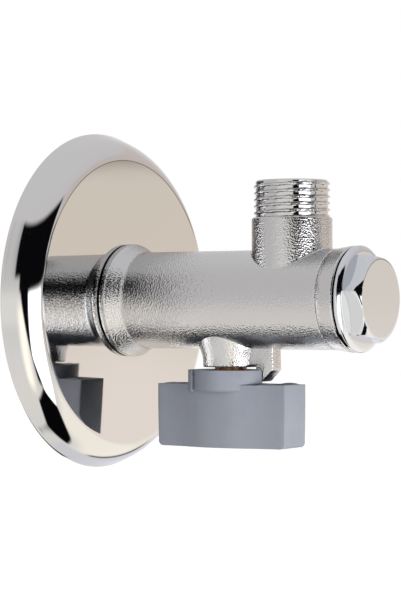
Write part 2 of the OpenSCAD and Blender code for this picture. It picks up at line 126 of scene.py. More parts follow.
def saddle_boss(r, fillet, top, round_r, steps=160):
    """A boss on the tube whose foot follows the tube in a fillet, as a ball would roll it."""
    rows = 8
    sunk = 0.03
    tuck = 0.85
    outline = [(0, -rows - 2), (r, -rows - 1)]
    outline += [(r, -k) for k in range(rows, -1, -1)]
    bm = lathe(outline + crown(r, top, round_r) + [(0, top)], steps)
    for v in bm.verts:
        row = round(-v.co.z / mm)
        if row < 0 or v.co.z > 0.5 * mm:
            continue
        if row == rows + 2:
            v.co.z = 6 * mm
            continue
        angle = math.atan2(v.co.y, v.co.x)
        reach = r + fillet
        ball = Vector((reach * math.cos(angle), reach * math.sin(angle), 0))
        ball.z = math.sqrt((tube_r + fillet - sunk) ** 2 - ball.y ** 2)
        to_boss = Vector((-math.cos(angle), -math.sin(angle), 0))
        to_tube = Vector((0, -ball.y, -ball.z)).normalized()
        spot = ball + fillet * to_boss.slerp(to_tube, min(row, rows) / rows)
        if row == rows + 1:
            spot.y *= tuck
            spot.z *= tuck
        v.co = spot * mm
    return bm


def thread(root, crest, pitch, start, end, lead, steps=144, per_turn=14):
    """A threaded bar about Z with a right-hand helix, bevelled where the nut starts."""
    count = int((end - start) / pitch * per_turn)
    rise = [start + (end - start) * k / count for k in range(count + 1)]
    bm = lathe([(0, start)] + [(crest, z) for z in rise] + [(0, end)], steps)
    crest_share = 0.1
    foot_share = 0.27
    for v in bm.verts:
        r = math.hypot(v.co.x, v.co.y) / mm
        if r < 0.1:
            continue
        z = v.co.z / mm
        turn = (z / pitch - math.atan2(v.co.y, v.co.x) / math.tau) % 1
        flank = (min(turn, 1 - turn) - crest_share) / (foot_share - crest_share)
        flank = min(1, max(0, flank))
        height = crest - (crest - root) * flank * flank * (3 - 2 * flank)
        height = min(height, crest - max(0, z - (end - lead)) * 0.9)
        v.co.x *= height / r
        v.co.y *= height / r
    return bm


# The collar's back is relieved round a bearing ring, and its front runs out in a cone.
tube = [(0, 2), (9.1, 2), (9.1, 4.4), (9.7, 5.0), (9.7, 9.75), (13.4, 9.75), (13.5, 9.98)]
tube += [(15.8, 9.98), (16.05, 10.12), (collar_r, 10.4), (collar_r, 11.6), (16.05, 11.85)]
tube += [(15.86, 12.1), (15.3, 13.15), (14.7, 14.3), (14.15, 15.3), (13.9, 15.75), (13.78, 16.2)]
tube += [(tube_r, 16.8)]
tube += [(tube_r, 17.6 + k) for k in range(61)]
# A scored line marks where the flared end begins.
tube += [(tube_r, 78.1), (13.7, 78.2), (13.5, 78.3), (13.5, 78.5), (13.72, 78.6), (13.8, 78.75)]
tube += [(14.02, 80), (14.25, 81.5), (14.43, 82.9), (14.44, 83.2), (14.36, 83.47), (14.15, body_end)]
tube += [(0, body_end)]
body = as_object(lathe(tube, 192, along_x=True), "tap_body_forging")

outlet = saddle_boss(11.1, 0.6, shoulder_z, 0.7)
bmesh.ops.translate(outlet, vec=(outlet_x * mm, 0, 0), verts=outlet.verts)
combine(body, as_object(outlet, "outlet_boss"), "UNION")

# The stem boss flares out towards the tube and meets it in a crisp line.
flare = [(0, 5), (9.3, 5), (9.3, 9.4), (9.24, 10.4), (9.1, 11.5), (8.9, 12.6), (8.63, 13.6)]
flare += [(8.32, 14.5), (8.05, 15.3), (7.88, 16.1), (7.8, 16.9)]
stem_boss = lathe(flare + crown(7.8, 18.7, 0.4) + [(0, 18.7)], 128)
bmesh.ops.transform(stem_boss, matrix=Matrix.Rotation(math.pi, 4, "X"), verts=stem_boss.verts)
bmesh.ops.translate(stem_boss, vec=(stem_x * mm, 0, 0), verts=stem_boss.verts)
combine(body, as_object(stem_boss, "stem_boss"), "UNION")

# The stop fin stands beside the stem boss, with one corner cut away.
fin_t = 5
fin = bmesh.new()
side = [(0, -12), (0, -18.4), (9.4, -18.4), (9.4, -22.65), (11.85, -22.65), (15.05, -19.45), (14.85, -12)]
flank = fin.faces.new([fin.verts.new(((stem_x + x) * mm, -fin_t / 2 * mm, z * mm)) for x, z in side])
grown = bmesh.ops.extrude_face_region(fin, geom=[flank])
moved = [g for g in grown["geom"] if isinstance(g, bmesh.types.BMVert)]
bmesh.ops.translate(fin, vec=(0, fin_t * mm, 0), verts=moved)
bmesh.ops.recalc_face_normals(fin, faces=fin.faces)
outer = [e for e in fin.edges if max(v.co.x for v in e.verts) > (stem_x + 9) * mm]
bmesh.ops.bevel(fin, geom=outer, offset=0.6 * mm, affect="EDGES", segments=4, profile=0.5, material=-1)
combine(body, as_object(fin, "stop_fin"), "UNION")

outlet_thread = thread(10.0, pipe_thread_r, pipe_pitch, 22.0, 32.7, 0.9)
bmesh.ops.rotate(outlet_thread, cent=(0, 0, 0), matrix=Matrix.Rotation(math.radians(194), 3, "Z"),
                 verts=outlet_thread.verts)
bmesh.ops.translate(outlet_thread, vec=(outlet_x * mm, 0, 0), verts=outlet_thread.verts)
combine(body, as_object(outlet_thread, "outlet_thread"), "UNION")
inlet_thread = thread(9.5, pipe_thread_r, pipe_pitch, -4.6, 10.5, 1.1)
bmesh.ops.transform(inlet_thread, matrix=Matrix.Rotation(-math.pi / 2, 4, "Y"), verts=inlet_thread.verts)
combine(body, as_object(inlet_thread, "inlet_thread"), "UNION")

# The water ways and the rooms of the ball, the strainer and the stem are bored out.
ways = [(0, -12), (5.6, -12), (5.6, -10.4), (5, -9.8), (5, 35.2), (9.4, 35.2), (9.4, 52.4), (10, 52.4)]
ways += [(10, 57), (10.6, 57.3), (10.6, 74.5), (12, 74.6), (12, 82.4), (12.75, 82.5), (12.75, 85), (0, 85)]
combine(body, as_object(lathe(ways, 128, along_x=True), "water_way"), "DIFFERENCE")
way_out = [(0, 0), (6, 0), (6, 32.2), (6.6, 32.9), (0, 32.9)]
combine(body, as_object(lathe(way_out, 96, at=(outlet_x, 0, 0)), "way_out"), "DIFFERENCE")
stem_room = [(0, 0), (4.55, 0), (4.55, 6.3), (5.7, 6.3), (5.7, 19), (0, 19)]
combine(body, as_object(lathe(stem_room, 96, at=(stem_x, 0, -18.9)), "stem_room"), "DIFFERENCE")


def material(name, colour, metallic, roughness):
    """A new material and its principled shader."""
    m = bpy.data.materials.new(name)
    m.use_nodes = True
    shader = m.node_tree.nodes["Principled BSDF"]
    shader.inputs["Base Color"].default_value = (*colour, 1)
    shader.inputs["Metallic"].default_value = metallic
    shader.inputs["Roughness"].default_value = roughness
    return m, shader


def node(m, kind, **values):
    """Adds a node, with its settings and its unlinked inputs."""
    n = m.node_tree.nodes.new(kind)
    for key, value in values.items():
        if hasattr(n, key):
            setattr(n, key, value)
        else:
            n.inputs[key.replace("_", " ")].default_value = value
    return n


def link(m, out, into):
    """Links two sockets."""
    m.node_tree.links.new(out, into)


def grain(m, place, size, detail=2.0, rough=0.55):
    """Noise whose grains are about that many mm wide."""
    n = node(m, "ShaderNodeTexNoise", Scale=1000 / size, Detail=detail, Roughness=rough)
    link(m, place, n.inputs["Vector"])
    return n.outputs["Fac"]


def ramp(m, source, low, high, to_low, to_high):
    """Maps a value's range to another one."""
    n = node(m, "ShaderNodeMapRange", From_Min=low, From_Max=high, To_Min=to_low, To_Max=to_high)
    link(m, source, n.inputs["Value"])
    return n.outputs["Result"]


def maths(m, operation, a, b):
    """One sum of two values, each a number or another node's output."""
    n = node(m, "ShaderNodeMath", operation=operation)
    for socket, value in zip(n.inputs, (a, b)):
        if isinstance(value, (int, float)):
            socket.default_value = value
        else:
            link(m, value, socket)
    return n.outputs[0]


def bump(m, shader, height, distance):
    """Raises the surface by a height value, at most that many mm."""
    n = node(m, "ShaderNodeBump", Distance=distance * mm)
    link(m, height, n.inputs["Height"])
    link(m, n.outputs["Normal"], shader.inputs["Normal"])


def tinted(m, shader, source, low, high, colour_low, colour_high):
    """Colours a shader between two tones, after a value that varies over the surface."""
    mix = node(m, "ShaderNodeMix", data_type="RGBA")
    link(m, ramp(m, source, low, high, 0, 1), mix.inputs["Factor"])
    mix.inputs[6].default_value = (*colour_low, 1)
    mix.inputs[7].default_value = (*colour_high, 1)
    link(m, mix.outputs[2], shader.inputs["Base Color"])


# The blasting leaves grains of about half a millimetre. It is missing from the valleys of the
# outlet thread, the spigot and the end face, which are cut later, and the flash of the forging
# leaves a trimmed line in the die's parting plane.
blasted, shader = material("blasted_satin_chrome", (0.58, 0.58, 0.585), 1, 0.14)
place = node(blasted, "ShaderNodeTexCoord").outputs["Object"]
axes = node(blasted, "ShaderNodeSeparateXYZ")
link(blasted, place, axes.inputs[0])
across = maths(blasted, "SUBTRACT", axes.outputs["X"], outlet_x * mm)
off_axis = maths(blasted, "ADD", maths(blasted, "POWER", across, 2),
                 maths(blasted, "POWER", axes.outputs["Y"], 2))
from_outlet = maths(blasted, "SQRT", off_axis, 0)
above_boss = ramp(blasted, axes.outputs["Z"], (shoulder_z - 0.2) * mm, shoulder_z * mm, 0, 1)
cut_thread = maths(blasted, "MULTIPLY", above_boss, ramp(blasted, from_outlet, 0.0100, 0.0103, 0.94, 0.3))
spigot_cut = ramp(blasted, axes.outputs["X"], 0.0094, 0.0098, 0.05, 1)
face_cut = ramp(blasted, axes.outputs["X"], (body_end - 0.3) * mm, (body_end - 0.1) * mm, 1, 0.05)
cut_ends = maths(blasted, "MULTIPLY", spigot_cut, face_cut)
forged = maths(blasted, "MULTIPLY", maths(blasted, "SUBTRACT", 1, cut_thread), cut_ends)
pits = node(blasted, "ShaderNodeTexVoronoi", Scale=1000 / 0.5)
link(blasted, place, pits.inputs["Vector"])
sand = maths(blasted, "ADD", maths(blasted, "MULTIPLY", pits.outputs["Distance"], 0.75),
             maths(blasted, "MULTIPLY", grain(blasted, place, 0.6, 2, 0.6), 0.6))
off_plane = maths(blasted, "ABSOLUTE", axes.outputs["Y"], 0)
parting = ramp(blasted, off_plane, 0.0003, 0.0005, 0.7, 0)
relief = maths(blasted, "MULTIPLY", maths(blasted, "ADD", sand, parting), forged)
bump(blasted, shader, relief, 0.095)
wear = ramp(blasted, grain(blasted, place, 5, 3, 0.6), 0.3, 0.7, 0.1, 0.14)
worn = maths(blasted, "ADD", maths(blasted, "MULTIPLY", wear, forged), 0.04)
link(blasted, worn, shader.inputs["Roughness"])
body.data.materials.clear()
body.data.materials.append(blasted)
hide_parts("valve_body")
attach(body, "tap_body")

# Stem: turned from brass bar, with a shoulder inside the body, a tongue that turns the ball and
# a square for the lever. Its end shows between the boss and the lever, and its brass is painted dark there as
# painted shade of that narrow gap.


def dress(name, m):
    """Gives a solid of the source its material."""
    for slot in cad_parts[name].material_slots:
        slot.material = m


# Painted shade: the stem's brass is darkened, and below it tinted in patches between near black and dull
# brown, standing in for the shade in the gap between the boss and the lever.
turned_brass, shader = material("turned_stem_brass", (0.34, 0.19, 0.075), 1, 0.3)
place = node(turned_brass, "ShaderNodeTexCoord").outputs["Object"]
rings = node(turned_brass, "ShaderNodeTexWave", bands_direction="Z", Scale=900, Distortion=0.6, Detail=1)
link(turned_brass, place, rings.inputs["Vector"])
bump(turned_brass, shader, rings.outputs["Fac"], 0.008)
painted_shade_patches = grain(turned_brass, place, 3, 4, 0.65)
tinted(turned_brass, shader, painted_shade_patches, 0.35, 0.65, (0.07, 0.035, 0.02), (0.42, 0.2, 0.1))
link(turned_brass, ramp(turned_brass, grain(turned_brass, place, 1.5, 3, 0.6), 0.3, 0.7, 0.28, 0.42),
     shader.inputs["Roughness"])
dress("stem", turned_brass)

# Stem seals: two moulded nitrile rings in the stem's grooves, and a cut PTFE washer under its
# shoulder. The rubber is dull black with a fine flow grain, the PTFE is waxy white.
rubber, shader = material("moulded_nitrile", (0.018, 0.018, 0.019), 0, 0.55)
shader.inputs["Specular IOR Level"].default_value = 0.4
place = node(rubber, "ShaderNodeTexCoord").outputs["Object"]
bump(rubber, shader, grain(rubber, place, 0.25, 3, 0.6), 0.012)
bloom = grain(rubber, place, 2, 3, 0.6)
tinted(rubber, shader, bloom, 0.35, 0.65, (0.013, 0.013, 0.014), (0.026, 0.026, 0.027))
dull = ramp(rubber, grain(rubber, place, 1.2, 3, 0.6), 0.3, 0.7, 0.45, 0.65)
link(rubber, dull, shader.inputs["Roughness"])
for name in ("upper_stem_o_ring", "lower_stem_o_ring", "retainer_o_ring", "cap_o_ring"):
    dress(name, rubber)
waxy, shader = material("turned_ptfe", (0.82, 0.82, 0.79), 0, 0.42)
shader.inputs["Subsurface Weight"].default_value = 0.15
shader.inputs["Subsurface Radius"].default_value = (0.002, 0.0018, 0.0015)
place = node(waxy, "ShaderNodeTexCoord").outputs["Object"]
bump(waxy, shader, grain(waxy, place, 0.5, 3, 0.6), 0.01)
tinted(waxy, shader, grain(waxy, place, 4, 3, 0.6), 0.35, 0.65, (0.77, 0.77, 0.73), (0.85, 0.85, 0.83))
link(waxy, ramp(waxy, grain(waxy, place, 2, 3, 0.6), 0.3, 0.7, 0.36, 0.5), shader.inputs["Roughness"])
for name in ("stem_thrust_washer", "rear_seat", "front_seat"):
    dress(name, waxy)

# Ball: a bored brass ball with a slot for the stem's tongue, ground round and chromed so that
# the seats slide on it. Grinding leaves faint crossing lines.
ground, shader = material("ground_ball_chrome", (0.62, 0.62, 0.63), 1, 0.1)
place = node(ground, "ShaderNodeTexCoord").outputs["Object"]
lines = node(ground, "ShaderNodeTexWave", bands_direction="DIAGONAL", Scale=700, Distortion=4, Detail=2)
link(ground, place, lines.inputs["Vector"])
bump(ground, shader, lines.outputs["Fac"], 0.002)
link(ground, ramp(ground, grain(ground, place, 3, 4, 0.6), 0.35, 0.7, 0.07, 0.16), shader.inputs["Roughness"])
dress("ball", ground)

# Seat retainer: a brass ring nut that holds the seats and the ball in the body. It is turned
# from bar, threaded outside, and its face has two slots for a pin spanner.
yellow_brass, shader = material("turned_ring_brass", (0.72, 0.53, 0.27), 1, 0.25)
place = node(yellow_brass, "ShaderNodeTexCoord").outputs["Object"]
rings = node(yellow_brass, "ShaderNodeTexWave", bands_direction="X", Scale=800, Distortion=0.5, Detail=1)
link(yellow_brass, place, rings.inputs["Vector"])
bump(yellow_brass, shader, rings.outputs["Fac"], 0.006)
tarnish = grain(yellow_brass, place, 4, 4, 0.6)
tinted(yellow_brass, shader, tarnish, 0.35, 0.65, (0.62, 0.44, 0.2), (0.78, 0.6, 0.33))
link(yellow_brass, ramp(yellow_brass, grain(yellow_brass, place, 2, 3, 0.6), 0.3, 0.7, 0.2, 0.34),
     shader.inputs["Roughness"])
dress("seat_retainer", yellow_brass)

# Strainer: a tube rolled from perforated stainless sheet, with a ring crimped and spot-welded on
# each end. The sheet has a fine rolling grain along it and straw-coloured traces of the welding.
rolled, shader = material("rolled_stainless", (0.56, 0.55, 0.53), 1, 0.3)
place = node(rolled, "ShaderNodeTexCoord").outputs["Object"]
stretch = node(rolled, "ShaderNodeMapping", Scale=(0.12, 1, 1))
link(rolled, place, stretch.inputs["Vector"])
streaks = grain(rolled, stretch.outputs["Vector"], 0.35, 3, 0.6)
bump(rolled, shader, streaks, 0.006)
tinted(rolled, shader, grain(rolled, place, 5, 3, 0.6), 0.5, 0.75, (0.57, 0.56, 0.55), (0.55, 0.47, 0.36))
link(rolled, ramp(rolled, streaks, 0.3, 0.7, 0.22, 0.38), shader.inputs["Roughness"])
for name in ("strainer_mesh", "strainer_inner_ring", "strainer_outer_ring"):
    dress(name, rolled)

# Filter cap: turned from brass bar, with a hexagon for a spanner, a flange over the body's end
# and a hollow threaded nose that carries the strainer. Polishing has rounded every edge, and
# all of it is chromed.
flat_r = 11.1
corner_at = 19.5
cap_end = 91.05
face_r = 11.0
face_ring_r = 10.3
face_fall = 0.22
head_start = 84.3
chamfer_back = 1.7
worn_corner_r = 12.72
worn_corner = 0.6
flat_edge_round = 0.2
corner_edge_round = 1.7


def soft_min(a, b, blend):
    """The smaller of two lengths, with a rounded change from one to the other."""
    share = min(1, max(0, 0.5 + 0.5 * (b - a) / blend))
    return b + (a - b) * share - blend * share * (1 - share)


hexagon_r = flat_r / math.cos(math.radians(30))
stations = [head_start, 86.5, 87, 87.4] + [87.6 + 0.14 * k for k in range(24)] + [90.98, cap_end]
profile = [(0, head_start)] + [(flat_r, x) for x in stations] + [(face_ring_r, cap_end), (0, cap_end)]
head = lathe(profile, 240, along_x=True)
for v in head.verts:
    r = math.hypot(v.co.y, v.co.z) / mm
    if r < face_ring_r + 0.2:
        continue
    x = v.co.x / mm
    turn = (math.degrees(math.atan2(v.co.z, v.co.y)) - corner_at - 30) % 60 - 30
    hexagon = soft_min(flat_r / math.cos(math.radians(turn)), worn_corner_r, worn_corner)
    chamfer = face_r + (cap_end - x) * (hexagon_r - face_r) / chamfer_back
    towards_corner = (hexagon - flat_r) / (hexagon_r - flat_r)
    size = soft_min(hexagon, chamfer, flat_edge_round + corner_edge_round * towards_corner)
    if x > cap_end - 0.01:
        size = face_r - face_fall
    v.co.y *= size / r
    v.co.z *= size / r
cap = as_object(head, "filter_cap_polished", 50)
flange = [(0, 75.0), (11.3, 75.0), (11.3, 83.0), (11.35, 84.05), (13.9, 84.05), (14.3, 84.15), (14.5, 84.4)]
flange += [(14.5, 84.95), (14.42, 85.2), (14.2, 85.45), (13.4, 85.98), (13.15, 86.08), (12.9, 86.1)]
flange += [(0, 86.1)]
combine(cap, as_object(lathe(flange, 240, along_x=True), "cap_flange"), "UNION", 32)
nose_thread = thread(11.05, 11.93, 1.5, -81.6, -75.5, 0.5, 128)
bmesh.ops.transform(nose_thread, matrix=Matrix.Rotation(-math.pi / 2, 4, "Y"), verts=nose_thread.verts)
combine(cap, as_object(nose_thread, "cap_thread"), "UNION", 32)
hollow = [(0, 74), (10, 74), (9.5, 75.9), (9.5, 81.5), (7.35, 81.5), (7.35, 86.65), (0, 86.65)]
combine(cap, as_object(lathe(hollow, 128, along_x=True), "cap_hollow"), "DIFFERENCE", 32)

polished, shader = material("polished_cap_chrome", (0.64, 0.665, 0.7), 1, 0.06)
place = node(polished, "ShaderNodeTexCoord").outputs["Object"]
bump(polished, shader, grain(polished, place, 2.5, 2, 0.5), 0.012)
haze = ramp(polished, grain(polished, place, 6, 4, 0.6), 0.35, 0.7, 0.05, 0.1)
link(polished, haze, shader.inputs["Roughness"])
cap.data.materials.clear()
cap.data.materials.append(polished)
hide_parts("filter_cap")
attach(cap, "cap")

# Rosette: a cup pressed from thin sheet, with a flat face, a rolled shoulder and a skirt that
# runs out to the wall. It is polished and chromed like a mirror and slides over the inlet
# thread.
sheet_t = 0.6
rosette_face = 9.7
bore_r = 10.78
flat_to = 16
dome_to = 40.2
dome_drop = 0.65
rim_r = 48.3
quarter = 0.25
# The shoulder's slope in degrees at each radius.
slopes = [(dome_to, 1.5), (40.6, 6), (41, 14), (41.4, 22), (41.8, 28), (42.3, 32), (42.8, 35)]
slopes += [(43.3, 38)]
slopes += [(43.9, 42), (44.5, 45.5), (45, 49), (45.5, 52.5), (46, 56.5), (46.4, 60.5), (46.8, 64.5)]
outside = [(bore_r, rosette_face), (flat_to, rosette_face)]
for k in range(1, 9):
    outside.append((flat_to + (dome_to - flat_to) * k / 8, rosette_face - dome_drop * k / 8))
height = outside[-1][1]
for (near_r, near_slope), (far_r, far_slope) in zip(slopes, slopes[1:]):
    for step in range(1, 5):
        share = step * quarter
        slope = near_slope + (far_slope - near_slope) * (share - quarter / 2)
        height -= quarter * (far_r - near_r) * math.tan(math.radians(slope))
        outside.append((near_r + (far_r - near_r) * share, height))
# The skirt comes down straight, with its last edge turned in.
for r, share in ((47.2, 0.74), (47.6, 0.48), (47.95, 0.25), (rim_r, 0.03)):
    outside.append((r, height * share))
outside.append((rim_r, 0))
inside = []
for k, (r, x) in enumerate(outside):
    before = outside[max(0, k - 1)]
    after = outside[min(len(outside) - 1, k + 1)]
    run = Vector((after[0] - before[0], after[1] - before[1])).normalized()
    inside.append((r + sheet_t * run.y, max(0, x - sheet_t * run.x)))
inside = [p for k, p in enumerate(inside) if k == 0 or p[0] > inside[k - 1][0]]
rosette = as_object(lathe(outside + inside[::-1], 288, along_x=True), "wall_rosette", 40)
mirror, shader = material("mirror_chrome", (0.63, 0.625, 0.62), 1, 0.035)
place = node(mirror, "ShaderNodeTexCoord").outputs["Object"]
bump(mirror, shader, grain(mirror, place, 14, 1, 0.4), 0.008)
haze = ramp(mirror, grain(mirror, place, 9, 4, 0.6), 0.35, 0.7, 0.025, 0.055)
link(mirror, haze, shader.inputs["Roughness"])
rosette.data.materials.append(mirror)
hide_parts("rosette")
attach(rosette, "tap_body")

# Lever: moulded in one piece from blue-grey plastic. Its hub has a core and two stop segments
# that the fin runs between, and its two wings are cored out from above.
half_len = 20.85
end_t = 5.75
pillar_t = 8.6
pillar_reach = 11
core_r = 10.85
segment_r = 12
far_stop_x = 7.1
run_out = 72
draft = 1.5
pocket_wall = 2.2
pocket_from = 12.4
pocket_to = 18.05
pocket_floor = -38.3
hub_top = -19.5
wing_top = -23.45
lever_bottom = -40.9


def lever_half(x):
    """Half the lever's thickness at a distance from the stem, in mm."""
    swell = 1 / (1 + (abs(x) / pillar_reach) ** 3)
    last = 1 / (1 + (half_len / pillar_reach) ** 3)
    return end_t + (pillar_t - end_t) * (swell - last) / (1 - last)


def slab(points, low, high):
    """A flat plate with that plan, from one height to another."""
    bm = bmesh.new()
    plan = bm.faces.new([bm.verts.new((x * mm, y * mm, low * mm)) for x, y in points])
    up = bmesh.ops.extrude_face_region(bm, geom=[plan])
    raised = [g for g in up["geom"] if isinstance(g, bmesh.types.BMVert)]
    bmesh.ops.translate(bm, vec=(0, 0, (high - low) * mm), verts=raised)
    bmesh.ops.recalc_face_normals(bm, faces=bm.faces)
    return bm


def wing(inset, x0, x1, steps):
    """The lever's plan between two distances from the stem."""
    xs = [x0 + (x1 - x0) * k / steps for k in range(steps + 1)]
    return [(x, inset - lever_half(x)) for x in xs] + [(x, lever_half(x) - inset) for x in reversed(xs)]


def ring(r, start, end, steps):
    """Points on a circle between two angles."""
    turns = [math.radians(start + (end - start) * k / steps) for k in range(steps + 1)]
    return [(r * math.cos(a), r * math.sin(a)) for a in turns]


plan = slab(wing(0, -half_len, half_len, 48), lever_bottom - 0.6, wing_top)
ends = []
for e in plan.edges:
    upright = abs(e.verts[0].co.z - e.verts[1].co.z) > 1e-4
    if upright and abs(e.verts[0].co.x) > (half_len - 0.01) * mm:
        ends.append(e)
bmesh.ops.bevel(plan, geom=ends, offset=0.55 * mm, affect="EDGES", segments=4, profile=0.5, material=-1)
lever = as_object(plan, "lever_moulding", 25)
low_half = half_len - (wing_top - lever_bottom) * math.tan(math.radians(draft))
corner_r = 1.4
side = [(-half_len, wing_top), (-half_len, -22), (half_len, -22), (half_len, wing_top)]
for a in range(0, 91, 10):
    side.append((low_half - corner_r + corner_r * math.cos(math.radians(a)),
                 lever_bottom + corner_r - corner_r * math.sin(math.radians(a))))
side += [(-x, z) for x, z in reversed(side[4:])]
outline = slab(side, -12, 12)
bmesh.ops.transform(outline, matrix=Matrix.Rotation(math.pi / 2, 4, "X"), verts=outline.verts)
combine(lever, as_object(outline, "lever_side"), "INTERSECT", 25)

# The core stands out of the wings with a chamfered foot.
core = [(0, hub_top), (core_r, hub_top), (core_r, -24.85), (core_r - 0.55, -25.4), (0, -25.4)]
combine(lever, as_object(lathe(core, 120), "lever_core"), "UNION", 25)
stop = 2.8
reach = math.degrees(math.acos(far_stop_x / segment_r))
far_segment = ring(segment_r, 180 - reach, 180 + reach, 32)
combine(lever, as_object(slab(far_segment, -25.4, hub_top), "stop_segment"), "UNION", 25)
stop_angle = math.degrees(math.asin(stop / segment_r))
near_segment = [(4, -stop), (4, -6)]
start_r = core_r - 0.01
for k in range(25):
    share = k / 24
    r = start_r + (segment_r - start_r) * share * share * (3 - 2 * share)
    a = math.radians(-run_out + (run_out - stop_angle) * share)
    near_segment.append((r * math.cos(a), r * math.sin(a)))
combine(lever, as_object(slab(near_segment, -23.5, hub_top), "stop_segment"), "UNION", 25)
undercut = slab([(4.4, -23.55), (12.6, -23.55), (12.6, -22.95)], -13, -2.85)
upright = Matrix(((1, 0, 0, 0), (0, 0, 1, 0), (0, 1, 0, 0), (0, 0, 0, 1)))
bmesh.ops.transform(undercut, matrix=upright, verts=undercut.verts)
room_r = core_r + 0.01
inner = as_object(lathe([(0, -26), (room_r, -26), (room_r, -22), (0, -22)], 120), "core_room")
undercut = combine(as_object(undercut, "segment_undercut"), inner, "DIFFERENCE", 25)
combine(lever, undercut, "DIFFERENCE", 25)
across_r = 8.8
track = [(-stop, 24), (-stop, across_r * math.sin(math.acos(stop / across_r)))]
track += ring(across_r, 180 - math.degrees(math.acos(stop / across_r)),
              -math.degrees(math.asin(stop / across_r)), 48)[1:-1]
track += [(across_r * math.cos(math.asin(stop / across_r)), -stop), (24, -stop), (24, 24)]
combine(lever, as_object(slab(track, wing_top, -19), "fin_track"), "DIFFERENCE", 25)
for side_turn in (0, 180):
    pocket = slab(wing(pocket_wall, pocket_from, pocket_to, 10), pocket_floor, -20)
    half_turn = Matrix.Rotation(math.radians(side_turn), 3, "Z")
    bmesh.ops.rotate(pocket, cent=(0, 0, 0), matrix=half_turn, verts=pocket.verts)
    combine(lever, as_object(pocket, "wing_pocket"), "DIFFERENCE", 25)
    # A low arched rib stands on the pocket's outer wall.
    arch = [(16.4 + 0.3 * k, 0.42 - 0.0042 * k * k) for k in range(-9, 10)]
    rib = slab([(13.7, -0.6)] + arch + [(19.1, -0.6)], 3.9, 4.9)
    bmesh.ops.transform(rib, matrix=Matrix.Translation((0, 0, wing_top * mm)) @ upright, verts=rib.verts)
    bmesh.ops.rotate(rib, cent=(0, 0, 0), matrix=half_turn, verts=rib.verts)
    combine(lever, as_object(rib, "pocket_rib"), "UNION", 25)
shaft_recess = [(0, -20.5), (4.55, -20.5), (4.55, -19), (0, -19)]
combine(lever, as_object(lathe(shaft_recess, 64), "shaft_recess"), "DIFFERENCE", 25)
socket = [(-3.15, -3.15), (3.15, -3.15), (3.15, 3.15), (-3.15, 3.15)]
combine(lever, as_object(slab(socket, -33.2, -20), "square_socket"), "DIFFERENCE", 25)
well = [(0, -42), (4.9, -42), (4.9, -41), (4.6, -40.6), (4.6, -35.2), (2.2, -35.2), (2.2, -32), (0, -32)]
combine(lever, as_object(lathe(well, 72), "screw_well"), "DIFFERENCE", 25)
soften = lever.modifiers.new("soften", "BEVEL")
soften.width = 0.3 * mm
soften.segments = 3
soften.limit_method = "ANGLE"
soften.angle_limit = math.radians(35)
apply_modifiers(lever)
bm = bmesh.new()
bm.from_mesh(lever.data)
bmesh.ops.translate(bm, vec=(stem_x * mm, 0, 0), verts=bm.verts)
bpy.data.objects.remove(lever)
lever = as_object(bm, "lever_moulding", 30)

plastic, shader = material("satin_grey_plastic", (0.2, 0.213, 0.245), 0, 0.48)
shader.inputs["Specular IOR Level"].default_value = 0.4
place = node(plastic, "ShaderNodeTexCoord").outputs["Object"]
bump(plastic, shader, grain(plastic, place, 0.35, 3, 0.6), 0.02)
cloud = grain(plastic, place, 6, 3, 0.6)
tinted(plastic, shader, cloud, 0.3, 0.7, (0.192, 0.205, 0.238), (0.208, 0.221, 0.252))
satin = ramp(plastic, grain(plastic, place, 4, 3, 0.6), 0.3, 0.7, 0.42, 0.54)
link(plastic, satin, shader.inputs["Roughness"])
lever.data.materials.append(plastic)
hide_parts("handle")
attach(lever, "lever")

# Lever screw: a pan-head steel screw and a split washer, put in from below. Both are plated with
# zinc, whose passive layer is bluish with faint yellow clouds.
zinc, shader = material("bright_zinc_plate", (0.6, 0.62, 0.66), 1, 0.28)
place = node(zinc, "ShaderNodeTexCoord").outputs["Object"]
bump(zinc, shader, grain(zinc, place, 0.4, 3, 0.6), 0.008)
tinted(zinc, shader, grain(zinc, place, 2.5, 3, 0.6), 0.4, 0.7, (0.58, 0.61, 0.66), (0.66, 0.63, 0.52))
link(zinc, ramp(zinc, grain(zinc, place, 1.5, 3, 0.6), 0.3, 0.7, 0.22, 0.36), shader.inputs["Roughness"])
for name in ("handle_screw", "screw_lock_washer"):
    dress(name, zinc)

# Studio: white paper floor far below, soft lamps, and around the tap the white and dark boards
# that polished chrome mirrors. The camera looks from the cap's side through a long lens.
floor_bm = bmesh.new()
bmesh.ops.create_grid(floor_bm, x_segments=1, y_segments=1, size=6)
bmesh.ops.translate(floor_bm, vec=(0, 0, -0.25), verts=floor_bm.verts)
floor = as_object(floor_bm, "paper_floor")
paper, shader = material("white_paper", (0.86, 0.86, 0.86), 0, 0.9)
rays = node(paper, "ShaderNodeLightPath")
glow = node(paper, "ShaderNodeEmission", Strength=0.4)
both = node(paper, "ShaderNodeAddShader")
seen = node(paper, "ShaderNodeMixShader")
link(paper, shader.outputs[0], both.inputs[0])
link(paper, glow.outputs[0], both.inputs[1])
link(paper, rays.outputs["Is Camera Ray"], seen.inputs["Fac"])
link(paper, shader.outputs[0], seen.inputs[1])
link(paper, both.outputs[0], seen.inputs[2])
link(paper, seen.outputs[0], paper.node_tree.nodes["Material Output"].inputs["Surface"])
floor.data.materials.append(paper)
floor.visible_glossy = False

